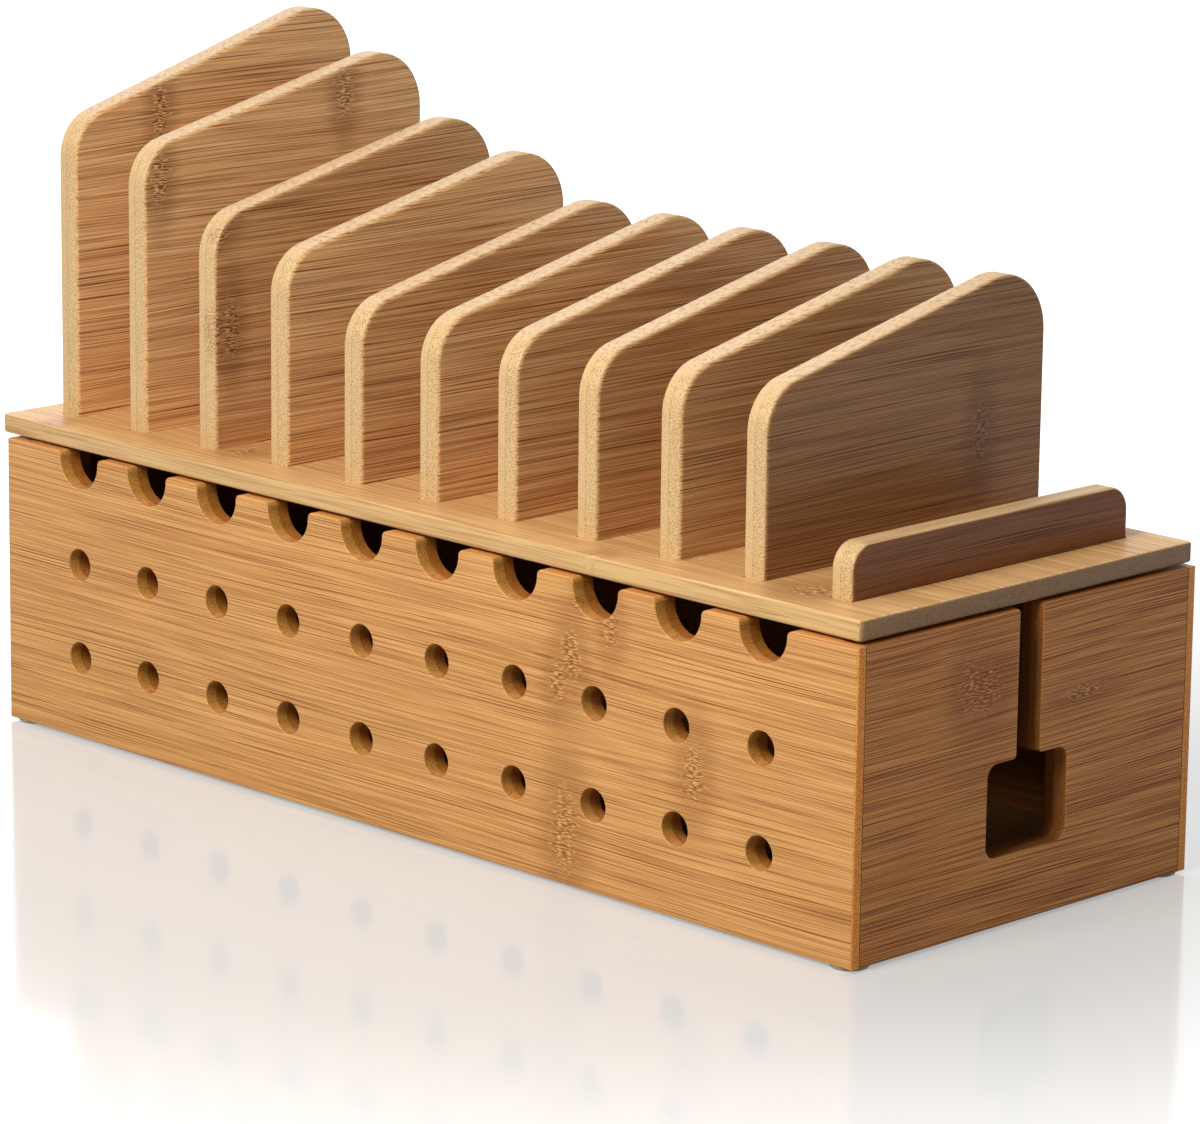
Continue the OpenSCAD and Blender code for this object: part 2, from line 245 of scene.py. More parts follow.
def finish_mesh(piece, material, sharp_over=32.0):
    """Merges doubles, turns the faces outwards, smooths all but the sharp edges, gives the material."""
    shape = bmesh.new()
    shape.from_mesh(piece.data)
    bmesh.ops.remove_doubles(shape, verts=shape.verts, dist=0.004 * MM)
    bmesh.ops.dissolve_degenerate(shape, edges=shape.edges, dist=0.004 * MM)
    bmesh.ops.recalc_face_normals(shape, faces=shape.faces)
    if shape.calc_volume(signed=True) < 0:
        bmesh.ops.reverse_faces(shape, faces=shape.faces)
    shape.to_mesh(piece.data)
    shape.free()
    piece.data.shade_smooth()
    piece.data.set_sharp_from_angle(angle=math.radians(sharp_over))
    # Tells faces, sawn edges and end grain apart, for the bamboo's material
    facing = piece.data.attributes.new("facing", "FLOAT_VECTOR", "CORNER")
    facing.data.foreach_set("vector", [abs(v) for normal in piece.data.corner_normals for v in normal.vector])
    piece.data.materials.clear()
    piece.data.materials.append(material)


def keep(piece, body, slot, *nodes):
    """Lets a finished piece stand for CAD nodes and ride on a body; its slot is not used."""
    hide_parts(*nodes)
    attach(piece, body)


def dress(names, material):
    """Gives CAD nodes that stay in view their material."""
    for name in names:
        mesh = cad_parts[name].data
        mesh.materials.clear()
        mesh.materials.append(material)


# Outlines and plates

def arc(centre, radius, start, end, steps, ease):
    """Points of an arc with their edge rounding, angles in degrees."""
    points = []
    for i in range(steps + 1):
        angle = math.radians(start + (end - start) * i / steps)
        points.append((centre[0] + radius * math.cos(angle), centre[1] + radius * math.sin(angle), ease))
    return points


def inward(outline):
    """How far and which way each corner of an outline moves when its edges move in by one."""
    moves = []
    for i, here in enumerate(outline):
        before, after = outline[i - 1], outline[(i + 1) % len(outline)]
        a = Vector((here[0] - before[0], here[1] - before[1])).normalized()
        b = Vector((after[0] - here[0], after[1] - here[1])).normalized()
        side_a, side_b = Vector((-a.y, a.x)), Vector((-b.y, b.x))
        moves.append((side_a + side_b) / (1 + side_a.dot(side_b)))
    return moves


def plate(outline, thickness, back_share, place):
    """A board cut to an outline, its edges rounded by each point's ease, as a closed mesh.

    The outline runs with the material on its left. back_share is the share of each ease that the
    back face gets, and place turns (a, b, depth) into a point in space.
    """
    clean = [p for i, p in enumerate(outline)
             if (Vector(p[:2]) - Vector(outline[i - 1][:2])).length > 0.002 * MM]
    moves = inward(clean)
    support = 0.5 * MM
    steps = 5
    rings = [(1, 0, "front", support)]
    rings += [(1 - math.sin(t), 1 - math.cos(t), "front", 0)
              for t in (math.radians(90 * i / steps) for i in range(steps + 1))]
    rings += [(1 - math.sin(t), 1 - math.cos(t), "back", 0)
              for t in (math.radians(90 * i / steps) for i in range(steps, -1, -1))]
    rings += [(1, 0, "back", support)]
    shape = bmesh.new()
    made = []
    for in_share, down_share, face, extra in rings:
        ring = []
        for (a, b, ease), move in zip(clean, moves):
            radius = ease * (back_share if face == "back" else 1)
            shift = radius * in_share + extra
            depth = radius * down_share
            if face == "back":
                depth = thickness - depth
            ring.append(shape.verts.new(place(a + move.x * shift, b + move.y * shift, depth)))
        made.append(ring)
    count = len(clean)
    for upper, lower in zip(made, made[1:]):
        for i in range(count):
            j = (i + 1) % count
            shape.faces.new((upper[i], upper[j], lower[j], lower[i]))
    for ring, flip in ((made[0], False), (made[-1], True)):
        flat = [Vector((*(Vector((p[0], p[1])) + m * (support + p[2])), 0)) for p, m in zip(clean, moves)]
        for triangle in tessellate_polygon([flat]):
            corners = [ring[i] for i in triangle]
            if len(set(corners)) == 3:
                shape.faces.new(corners[::-1] if flip else corners)
    # A board seen from its other side is inside out, and a cut would leave it open
    bmesh.ops.recalc_face_normals(shape, faces=shape.faces)
    mesh = bpy.data.meshes.new("board")
    shape.to_mesh(mesh)
    shape.free()
    return mesh


def block(low, high):
    """A plain box, used to cut with."""
    mesh = bpy.data.meshes.new("cutter")
    shape = bmesh.new()
    bmesh.ops.create_cube(shape, size=1.0)
    for vert in shape.verts:
        vert.co = [low[i] + (vert.co[i] + 0.5) * (high[i] - low[i]) for i in range(3)]
    shape.to_mesh(mesh)
    shape.free()
    return mesh


def turned(profile, segments=40):
    """A solid turned on a lathe round Z from (radius, height) points that start and end on the axis."""
    mesh = bpy.data.meshes.new("turned")
    shape = bmesh.new()
    rings = []
    for radius, height in profile:
        if radius < 1e-9:
            rings.append([shape.verts.new((0, 0, height))])
            continue
        rings.append([
            shape.verts.new((radius * math.cos(2 * math.pi * i / segments),
                             radius * math.sin(2 * math.pi * i / segments), height))
            for i in range(segments)])
    for lower, upper in zip(rings, rings[1:]):
        for i in range(segments):
            j = (i + 1) % segments
            corners = [lower[i % len(lower)], lower[j % len(lower)], upper[j % len(upper)], upper[i % len(upper)]]
            unique = list(dict.fromkeys(corners))
            if len(unique) > 2:
                shape.faces.new(unique)
    bmesh.ops.recalc_face_normals(shape, faces=shape.faces)
    shape.to_mesh(mesh)
    shape.free()
    return mesh


def cut(piece, cutters):
    """Cuts other meshes out of a piece."""
    tools = [new_piece("cutter", mesh) for mesh in cutters]
    for tool in tools:
        modifier = piece.modifiers.new("Cut", "BOOLEAN")
        modifier.operation = "DIFFERENCE"
        modifier.solver = "EXACT"
        modifier.object = tool
    settle(piece)
    for tool in tools:
        bpy.data.objects.remove(tool)


# Geometry Nodes trees

def new_tree(name, inputs):
    """Starts a Geometry Nodes tree with named inputs."""
    tree = bpy.data.node_groups.new(name, "GeometryNodeTree")
    for side in ("INPUT", "OUTPUT"):
        tree.interface.new_socket("Geometry", in_out=side, socket_type="NodeSocketGeometry")
    for label, kind in inputs:
        tree.interface.new_socket(label, in_out="INPUT", socket_type="NodeSocket" + kind)
    return tree, tree.nodes.new("NodeGroupInput"), tree.nodes.new("NodeGroupOutput")


def grow(piece, tree, values):
    """Runs a tree on a piece with these inputs and keeps the result as its plain mesh."""
    modifier = piece.modifiers.new(tree.name, "NODES")
    modifier.node_group = tree
    for item in tree.interface.items_tree:
        if item.in_out == "INPUT" and item.name in values:
            modifier[item.identifier] = values[item.name]
    return settle(piece)


def grid_points(tree, given):
    """Nodes that lay points in rows and columns from Start, Step and Row step."""
    row = add(tree, "GeometryNodeMeshLine", {
        "Count": given.outputs["Count"], "Offset": given.outputs["Step"]}, mode="OFFSET")
    column = add(tree, "GeometryNodeMeshLine", {
        "Count": given.outputs["Rows"], "Start Location": given.outputs["Start"],
        "Offset": given.outputs["Row step"]}, mode="OFFSET")
    rows = add(tree, "GeometryNodeInstanceOnPoints", {"Points": column, "Instance": row})
    return add(tree, "GeometryNodeRealizeInstances", {"Geometry": rows})


GRID_INPUTS = [("Tool", "Object"), ("Start", "Vector"), ("Step", "Vector"), ("Count", "Int"),
               ("Row step", "Vector"), ("Rows", "Int")]


def pattern_cut_tree():
    """A tree that cuts a tool out of a board at every point of a grid."""
    tree, given, result = new_tree("Pattern cut", GRID_INPUTS + [("Material", "Material")])
    tool = add(tree, "GeometryNodeObjectInfo", {"Object": given.outputs["Tool"]})
    copies = add(tree, "GeometryNodeInstanceOnPoints", {
        "Points": grid_points(tree, given), "Instance": tool.outputs["Geometry"]})
    solid = add(tree, "GeometryNodeRealizeInstances", {"Geometry": copies})
    joined = add(tree, "GeometryNodeMeshBoolean", {
        "Mesh 1": given.outputs["Geometry"], "Mesh 2": solid}, operation="DIFFERENCE", solver="EXACT")
    whole = add(tree, "GeometryNodeRealizeInstances", [joined])
    coated = add(tree, "GeometryNodeSetMaterial", {"Geometry": whole, "Material": given.outputs["Material"]})
    tree.links.new(coated.outputs[0], result.inputs["Geometry"])
    return tree


def pattern_copy_tree():
    """A tree that sets a copy of a tool, spun by chance, at every point of a grid."""
    tree, given, result = new_tree("Pattern copy", GRID_INPUTS + [("Spin", "Float"), ("Material", "Material")])
    tool = add(tree, "GeometryNodeObjectInfo", {"Object": given.outputs["Tool"]})
    spin = add(tree, "FunctionNodeRandomValue", {"Min": 0.0, "Max": given.outputs["Spin"], "Seed": 7},
               data_type="FLOAT")
    turn = add(tree, "ShaderNodeCombineXYZ", {"Z": spin.outputs[1]})
    copies = add(tree, "GeometryNodeInstanceOnPoints", {
        "Points": grid_points(tree, given), "Instance": tool.outputs["Geometry"], "Rotation": turn})
    solid = add(tree, "GeometryNodeRealizeInstances", {"Geometry": copies})
    coated = add(tree, "GeometryNodeSetMaterial", {"Geometry": solid, "Material": given.outputs["Material"]})
    tree.links.new(coated.outputs[0], result.inputs["Geometry"])
    return tree


def rounded_board_tree():
    """A tree that makes a board with a sloped top: an edge section swept round the outline, and two faces."""
    sizes = ["Thickness", "Depth", "Seat", "Front height", "Rise", "Front corner", "Back corner", "Edge ease"]
    tree, given, result = new_tree(
        "Rounded board", [(name, "Float") for name in sizes] + [("Place", "Vector"), ("Material", "Material")])
    size = given.outputs
    seat_low = add(tree, "ShaderNodeMath", {0: size["Seat"], 1: -1.0}, operation="MULTIPLY")
    back_height = add(tree, "ShaderNodeMath", {0: size["Front height"], 1: size["Rise"]}, operation="ADD")
    corners = [
        add(tree, "ShaderNodeCombineXYZ", {"Y": seat_low}),
        add(tree, "ShaderNodeCombineXYZ", {"Y": size["Front height"]}),
        add(tree, "ShaderNodeCombineXYZ", {"X": size["Depth"], "Y": back_height}),
        add(tree, "ShaderNodeCombineXYZ", {"X": size["Depth"], "Y": seat_low}),
    ]
    outline = add(tree, "GeometryNodeCurvePrimitiveQuadrilateral",
                  {f"Point {i + 1}": corner for i, corner in enumerate(corners)}, mode="POINTS")
    foot_corner = 1.9 * MM
    radii = add(tree, "GeometryNodeIndexSwitch", data_type="FLOAT")
    radii.index_switch_items.new()
    radii.index_switch_items.new()
    tree.links.new(add(tree, "GeometryNodeInputIndex").outputs[0], radii.inputs["Index"])
    radii.inputs["0"].default_value = foot_corner
    radii.inputs["3"].default_value = foot_corner
    tree.links.new(size["Front corner"], radii.inputs["1"])
    tree.links.new(size["Back corner"], radii.inputs["2"])
    rail = add(tree, "GeometryNodeFilletCurve", {"Curve": outline, "Count": 14, "Radius": radii}, mode="POLY")
    rail = add(tree, "GeometryNodeSetCurveNormal", {"Curve": rail}, mode="Z_UP")

    half = add(tree, "ShaderNodeMath", {0: size["Thickness"], 1: 0.5}, operation="MULTIPLY")
    other_half = add(tree, "ShaderNodeMath", {0: half, 1: -1.0}, operation="MULTIPLY")
    inner = add(tree, "ShaderNodeMath", {0: size["Edge ease"], 1: 0.3 * MM}, operation="ADD")
    section_corners = [
        add(tree, "ShaderNodeCombineXYZ", {"X": inner, "Y": half}),
        add(tree, "ShaderNodeCombineXYZ", {"Y": half}),
        add(tree, "ShaderNodeCombineXYZ", {"Y": other_half}),
        add(tree, "ShaderNodeCombineXYZ", {"X": inner, "Y": other_half}),
    ]
    section = add(tree, "GeometryNodeCurvePrimitiveQuadrilateral",
                  {f"Point {i + 1}": corner for i, corner in enumerate(section_corners)}, mode="POINTS")
    section = add(tree, "GeometryNodeSetSplineCyclic", {"Geometry": section, "Cyclic": False})
    section = add(tree, "GeometryNodeFilletCurve", {
        "Curve": section, "Count": 6, "Radius": size["Edge ease"]}, mode="POLY")
    band = add(tree, "GeometryNodeCurveToMesh", {"Curve": rail, "Profile Curve": section})

    neighbours = add(tree, "GeometryNodeInputMeshEdgeNeighbors")
    rim = add(tree, "FunctionNodeCompare", {"A": neighbours, "B": 1}, data_type="INT", operation="EQUAL")
    where = add(tree, "ShaderNodeSeparateXYZ", {0: add(tree, "GeometryNodeInputPosition")})
    parts = [band]
    for side, operation in ((half, "GREATER_THAN"), (other_half, "LESS_THAN")):
        here = add(tree, "ShaderNodeMath", {0: where.outputs["Z"], 1: 0.0}, operation=operation)
        both = add(tree, "ShaderNodeMath", {0: rim, 1: here}, operation="MULTIPLY")
        loop = add(tree, "GeometryNodeMeshToCurve", {"Mesh": band, "Selection": both})
        face = add(tree, "GeometryNodeFillCurve", {"Curve": loop}, mode="NGONS")
        lift = add(tree, "ShaderNodeCombineXYZ", {"Z": side})
        parts.append(add(tree, "GeometryNodeTransform", {"Geometry": face, "Translation": lift}))
    joined = add(tree, "GeometryNodeJoinGeometry")
    for part in parts:
        tree.links.new(part.outputs[0], joined.inputs[0])
    closed = add(tree, "GeometryNodeMergeByDistance", {"Geometry": joined, "Distance": 0.01 * MM})
    stood = add(tree, "GeometryNodeTransform", {
        "Geometry": closed, "Translation": size["Place"],
        "Rotation": (math.radians(90), 0.0, math.radians(90))})
    solid = add(tree, "GeometryNodeRealizeInstances", {"Geometry": stood})
    coated = add(tree, "GeometryNodeSetMaterial", {"Geometry": solid, "Material": size["Material"]})
    tree.links.new(coated.outputs[0], result.inputs["Geometry"])
    return tree


# Materials

def bamboo_group():
    """Node group with the pattern of laminated bamboo, in millimetres along, across and through a board."""
    tree = bpy.data.node_groups.new("Laminated bamboo", "ShaderNodeTree")
    for label in ("Along", "Across", "Through", "Board", "Shade", "Inner", "Face", "End", "Knuckles", "Contrast"):
        tree.interface.new_socket(label, in_out="INPUT", socket_type="NodeSocketFloat")
    for label in ("Pale", "Brown", "Line", "Edge", "End grain", "Inner ply"):
        tree.interface.new_socket(label, in_out="INPUT", socket_type="NodeSocketColor")
    tree.interface.new_socket("Color", in_out="OUTPUT", socket_type="NodeSocketColor")
    tree.interface.new_socket("Roughness", in_out="OUTPUT", socket_type="NodeSocketFloat")
    tree.interface.new_socket("Height", in_out="OUTPUT", socket_type="NodeSocketFloat")
    given = tree.nodes.new("NodeGroupInput").outputs
    result = tree.nodes.new("NodeGroupOutput")
    times, plus, times_plus = ({"operation": name} for name in ("MULTIPLY", "ADD", "MULTIPLY_ADD"))
    soft, colours = {"interpolation_type": "SMOOTHSTEP"}, {"data_type": "RGBA"}

    # Every board is sawn from another part of the stock
    shifted = add(tree, MATH, (given["Board"], 53.7, given["Across"]), **times_plus)

    def stretched(along_mm, across_mm, across, detail=0.0):
        """Noise that runs along the grain, its features this long and this wide."""
        place = add(tree, "ShaderNodeCombineXYZ", (given["Along"], across, given["Through"]))
        place = add(tree, VECTOR, (place, (1 / along_mm, 1 / across_mm, 1 / across_mm)), **times)
        return add(tree, "ShaderNodeTexNoise", {"Vector": place, "Scale": 1.0, "Detail": detail})

    # A knuckle has a core of zigzag dashes in a wider brown stain
    core = add(tree, RANGE, (given["Knuckles"], 1.3, 0.5), **soft)
    stain = add(tree, RANGE, (given["Knuckles"], 3.0, 0.6, 0.0, 0.5), **soft)

    # Fibres run nearly straight and swirl only beside a knuckle
    wander = add(tree, RANGE, (stretched(150.0, 30.0, shifted), 0.2, 0.8, -1.2, 1.2))
    swirl = add(tree, RANGE, (stretched(2.5, 1.6, shifted), 0.2, 0.8, -0.3, 0.3))
    across = add(tree, MATH, (shifted, wander), **plus)
    across = add(tree, MATH, (swirl, core, across), **times_plus)

    # Strips are 21 mm wide, and each strip of each ply has its own tone
    strip = add(tree, MATH, (shifted, 21.0), operation="DIVIDE")
    strip = add(tree, MATH, [strip], operation="FLOOR")
    ply = add(tree, MATH, (given["Through"], 4.3), operation="DIVIDE")
    ply = add(tree, MATH, [ply], operation="FLOOR")
    cell = add(tree, "ShaderNodeCombineXYZ", (strip, ply, given["Board"]))
    tone = add(tree, "ShaderNodeTexWhiteNoise", [cell], noise_dimensions="3D")

    # Fibre bundles lie about a millimetre apart, each of its own darkness, with finer fibres between
    broad = add(tree, RANGE, (stretched(300.0, 7.0, across, 2.0), 0.25, 0.75, -0.5, 0.5))
    bunch = add(tree, RANGE, (stretched(200.0, 4.0, across, 1.0), 0.35, 0.62, 0.72, 1.0), **soft)
    sway = add(tree, RANGE, (stretched(70.0, 2.2, across), 0.2, 0.8, -0.5, 0.5))
    bundle = add(tree, MATH, (add(tree, MATH, (across, sway), **plus), 0.52), operation="PINGPONG")
    bundle = add(tree, RANGE, (bundle, 0.04, 0.30, 1.0, 0.0), **soft)
    weight = add(tree, RANGE, (stretched(55.0, 0.9, across), 0.40, 0.64))
    bundle = add(tree, MATH, (bundle, weight), **times)
    fine = add(tree, RANGE, (stretched(45.0, 0.42, across), 0.44, 0.62))
    gleam = add(tree, RANGE, (stretched(60.0, 0.55, across), 0.46, 0.68))
    mixed = add(tree, MATH, (broad, 0.34, 0.42), **times_plus)
    mixed = add(tree, MATH, (mixed, add(tree, RANGE, (tone, 0.0, 1.0, -0.12, 0.12))), **plus)
    mixed = add(tree, MATH, (gleam, 0.50, mixed), use_clamp=True, **times_plus)
    face = add(tree, MIX, (mixed, given["Brown"], given["Pale"]), **colours)
    thin = add(tree, MATH, (fine, 0.52), **times)
    dark = add(tree, MATH, (bundle, 0.76, thin), **times_plus)
    dark = add(tree, MATH, (dark, bunch), **times)
    dark = add(tree, MATH, (dark, given["Contrast"]), use_clamp=True, **times)
    face = add(tree, MIX, (dark, face, given["Line"]), **colours)

    crumbs = stretched(2.3, 0.5, shifted)
    glint = add(tree, RANGE, (crumbs, 0.47, 0.38, 0.0, 0.75), **soft)
    glint = add(tree, MATH, (glint, core), **times)
    dash = add(tree, RANGE, (crumbs, 0.50, 0.58, 0.0, 0.95), **soft)
    dash = add(tree, MATH, (dash, core), **times)
    mark = add(tree, MATH, (dash, stain), operation="MAXIMUM")
    face = add(tree, MIX, (mark, face, given["Line"]), **colours)
    face = add(tree, MIX, (glint, face, given["Pale"]), **colours)

    # Along a sawn edge fewer lines show
    edge = add(tree, MATH, (fine, 0.45), **times)
    edge = add(tree, MATH, (bundle, 0.60, edge), use_clamp=True, **times_plus)
    edge = add(tree, MIX, (edge, given["Edge"], (0.62, 0.50, 0.40, 1.0)), blend_type="MULTIPLY", **colours)

    # Vascular bundles dot the end grain, two thirds of a millimetre apart, with a glue seam between plies
    cross = add(tree, "ShaderNodeCombineXYZ", (shifted, given["Through"], given["Along"]))
    cross = add(tree, VECTOR, (cross, (1.5, 1.5, 0.4)), **times)
    dots = add(tree, "ShaderNodeTexVoronoi", {"Vector": cross, "Scale": 1.0, "Randomness": 0.75})
    dots = add(tree, RANGE, (dots, 0.26, 0.52, 1.0, 0.0), **soft)
    coarse = add(tree, RANGE, (ply, 0.0, 1.0, 0.30, 0.50))
    coarse = add(tree, MATH, (coarse, add(tree, RANGE, (tone, 0.0, 1.0, -0.08, 0.14))), **plus)
    dots = add(tree, MATH, (dots, coarse), **times)
    dots = add(tree, MATH, (dots, add(tree, MATH, (dash, 0.6), **times)), **plus)
    seam = add(tree, MATH, (given["Through"], 4.3), operation="SUBTRACT")
    seam = add(tree, MATH, [seam], operation="ABSOLUTE")
    seam = add(tree, RANGE, (seam, 0.12, 0.35, 0.22, 0.0), **soft)
    holes = add(tree, MATH, (dots, seam), use_clamp=True, **plus)
    ends = add(tree, MIX, (holes, given["End grain"], (0.34, 0.22, 0.13, 1.0)), blend_type="MULTIPLY", **colours)

    sides = add(tree, MIX, (given["End"], edge, ends), **colours)
    # A whole board darkens by its Shade: partly its own tone, partly painted shade where light reaches the board least
    face = add(tree, MIX, (given["Shade"], face, (0.28, 0.17, 0.10, 1.0)), blend_type="MULTIPLY", **colours)
    body = add(tree, MIX, (given["Face"], sides, face), **colours)
    # Painted shade inside the box: the walls' inner faces darken towards the line colour, and the whole inner ply
    # takes the inner shade tint
    inner_painted_shade = add(tree, MATH, (given["Inner"], given["Face"]), **times)
    inner_painted_shade = add(tree, MATH, (inner_painted_shade, 0.35), **times)
    body = add(tree, MIX, (inner_painted_shade, body, given["Line"]), **colours)
    body = add(tree, MIX, (given["Inner"], body, given["Inner ply"]), blend_type="MULTIPLY", **colours)
    gloss = add(tree, MATH, (dark, 0.12, 0.34), **times_plus)
    height = add(tree, MATH, (add(tree, MATH, (dark, dash), **plus), -0.6), **times)
    height = add(tree, MATH, (add(tree, MATH, (dots, given["End"]), **times), -0.8, height), **times_plus)
    for socket, value in (("Color", body.outputs[2]), ("Roughness", gloss.outputs[0]), ("Height", height.outputs[0])):
        tree.links.new(value, result.inputs[socket])
    return tree


def bamboo(group, name, axes, tints, contrast, knuckles=(), boards=None, board_tone_and_painted_shade=(), inner=None, sawn=None, whole=True):
    """Laminated bamboo for boards whose grain, strips and plies follow these axes.

    Bamboo strips are planed, glued side by side in plies and sprayed with thin satin lacquer. The eye
    sees fine straight fibres, a soft gloss, small zigzag knuckles and dotted ends.
    tints are its pale, brown, line, edge, end grain and inner shade colours, the inner shade being painted shade
    inside the box.
    boards is the first board's face and the pitch where one material covers a row, board_tone_and_painted_shade says
    how dark each board of the row is, partly its own tone and partly painted shade where light reaches it least, and
    inner is the middle and the half width of the space inside the boards' outer ply, where painted shade darkens the
    inside.
    sawn is the middle and the half length of the range where end grain has another colour, and that colour: a darker
    one, painted shade in the holes of that range.
    A board that isn't whole shows its face pattern all over.
    """
    material = bpy.data.materials.new(name)
    material.use_nodes = True
    tree = material.node_tree
    shader = tree.nodes["Principled BSDF"]
    where = add(tree, "ShaderNodeTexCoord")
    place = add(tree, VECTOR, {"Vector": where.outputs["Object"], "Scale": 1 / MM}, operation="SCALE")
    split = add(tree, "ShaderNodeSeparateXYZ", [place]).outputs
    feeds = {"Along": split[axes[0]], "Across": split[axes[1]], "Through": split[axes[2]],
             "Face": 1.0, "Contrast": contrast, "Knuckles": 9.0}
    if whole:
        facing = add(tree, "ShaderNodeAttribute", attribute_name="facing").outputs["Vector"]
        facing = add(tree, "ShaderNodeSeparateXYZ", [facing]).outputs
        feeds["Face"] = add(tree, RANGE, (facing[axes[2]], 0.6, 0.85))
        feeds["End"] = add(tree, RANGE, (facing[axes[0]], 0.4, 0.75))
    for socket, tint in zip(("Pale", "Brown", "Line", "Edge", "End grain", "Inner ply"), tints):
        feeds[socket] = (*tint, 1.0)
    if boards:
        start, pitch = boards
        depth = add(tree, MATH, (split[axes[2]], start), operation="SUBTRACT")
        feeds["Through"] = add(tree, MATH, (depth, pitch), operation="FLOORED_MODULO")
        depth = add(tree, MATH, (depth, pitch), operation="DIVIDE")
        feeds["Board"] = add(tree, MATH, [depth], operation="FLOOR")
        # Each board of the row gets its darkness from the list: partly its own tone, partly painted shade
        in_row = add(tree, RANGE, (feeds["Board"], -0.5, len(board_tone_and_painted_shade) - 0.5))
        feeds["Shade"] = steps = add(tree, "ShaderNodeValToRGB", [in_row])
        steps.color_ramp.interpolation = "CONSTANT"
        for i, shade in enumerate(board_tone_and_painted_shade):
            stop = steps.color_ramp.elements[0] if i == 0 else steps.color_ramp.elements.new(i / len(board_tone_and_painted_shade))
            stop.color = (shade, shade, shade, 1.0)
        steps.color_ramp.elements.remove(steps.color_ramp.elements[-1])
    # The space inside the outer ply is where the painted inner shade goes
    if inner:
        middle, reach = inner
        depth = add(tree, MATH, (split[axes[2]], middle), operation="SUBTRACT")
        feeds["Through"] = add(tree, MATH, [depth], operation="ABSOLUTE")
        feeds["Inner"] = add(tree, RANGE, (feeds["Through"], reach, reach - 0.4))
        far = add(tree, MATH, (depth, 0.0), operation="GREATER_THAN")
        feeds["Board"] = add(tree, MATH, (far, 7.0), operation="MULTIPLY")
    # Painted shade: end grain in the holes inside the range takes the darker colour, and the board's ends keep their
    # own
    if sawn:
        middle, reach, hole_shade = sawn
        past = add(tree, MATH, (split[axes[0]], middle), operation="SUBTRACT")
        past = add(tree, MATH, [past], operation="ABSOLUTE")
        past = add(tree, RANGE, (past, reach - 1.0, reach - 0.5))
        feeds["End grain"] = add(tree, MIX, (past, (*hole_shade, 1.0), (*tints[4], 1.0)), data_type="RGBA")
    if knuckles:
        zigzag = add(tree, "ShaderNodeTexNoise", {"W": split[axes[1]], "Scale": 0.55, "Detail": 1.0},
                     noise_dimensions="1D")
        zigzag = add(tree, RANGE, (zigzag, 0.25, 0.75, -2.6, 2.6))
        zigzag = add(tree, "ShaderNodeCombineXYZ", {axes[0]: zigzag})
        place = add(tree, VECTOR, (place, zigzag), operation="ADD")
        for centre, half_along, half_across in knuckles:
            reach = [5.0, 5.0, 5.0]
            reach["XYZ".index(axes[0])] = half_along
            reach["XYZ".index(axes[1])] = half_across
            offset = add(tree, VECTOR, (place, centre), operation="SUBTRACT")
            offset = add(tree, VECTOR, (offset, tuple(1 / r for r in reach)), operation="MULTIPLY")
            offset = add(tree, VECTOR, [offset], operation="LENGTH")
            feeds["Knuckles"] = add(tree, MATH, (feeds["Knuckles"], offset), operation="MINIMUM")
    pattern = add(tree, "ShaderNodeGroup", feeds, node_tree=group)
    bump = add(tree, "ShaderNodeBump", {
        "Strength": 0.4, "Distance": 0.12 * MM, "Height": pattern.outputs["Height"]})
    tree.links.new(pattern.outputs["Color"], shader.inputs["Base Color"])
    tree.links.new(pattern.outputs["Roughness"], shader.inputs["Roughness"])
    tree.links.new(bump.outputs[0], shader.inputs["Normal"])
    shader.inputs["IOR"].default_value = 1.3
    return material


def soft_rubber(name):
    """Moulded polyurethane bumper: the eye sees a soft, faintly see-through drop with a dull skin."""
    material = bpy.data.materials.new(name)
    material.use_nodes = True
    tree = material.node_tree
    shader = tree.nodes["Principled BSDF"]
    where = add(tree, "ShaderNodeTexCoord")
    cloud = add(tree, "ShaderNodeTexNoise", {"Vector": where.outputs["Object"], "Scale": 400.0, "Detail": 3.0})
    tint = add(tree, "ShaderNodeMix", {
        0: cloud, 6: (*linear("#8E8270"), 1.0), 7: (*linear("#A89C88"), 1.0)}, data_type="RGBA")
    tree.links.new(tint.outputs[2], shader.inputs["Base Color"])
    dull = add(tree, "ShaderNodeMapRange", {"Value": cloud, "To Min": 0.35, "To Max": 0.55})
    tree.links.new(dull.outputs[0], shader.inputs["Roughness"])
    shader.inputs["IOR"].default_value = 1.5
    shader.inputs["Subsurface Weight"].default_value = 0.2
    shader.inputs["Subsurface Scale"].default_value = 0.001
    return material


def zinc_steel(name):
    """Zinc-plated steel, cold formed: the eye sees grey metal with a faint spangle and an uneven gloss."""
    material = bpy.data.materials.new(name)
    material.use_nodes = True
    tree = material.node_tree
    shader = tree.nodes["Principled BSDF"]
    where = add(tree, "ShaderNodeTexCoord")
    spangle = add(tree, "ShaderNodeTexNoise", {"Vector": where.outputs["Object"], "Scale": 900.0, "Detail": 2.0})
    tint = add(tree, "ShaderNodeMix", {
        0: spangle, 6: (*linear("#9DA2A6"), 1.0), 7: (*linear("#C6C9CB"), 1.0)}, data_type="RGBA")
    tree.links.new(tint.outputs[2], shader.inputs["Base Color"])
    gloss = add(tree, "ShaderNodeMapRange", {"Value": spangle, "To Min": 0.25, "To Max": 0.5})
    tree.links.new(gloss.outputs[0], shader.inputs["Roughness"])
    shader.inputs["Metallic"].default_value = 1.0
    return material


# Operators

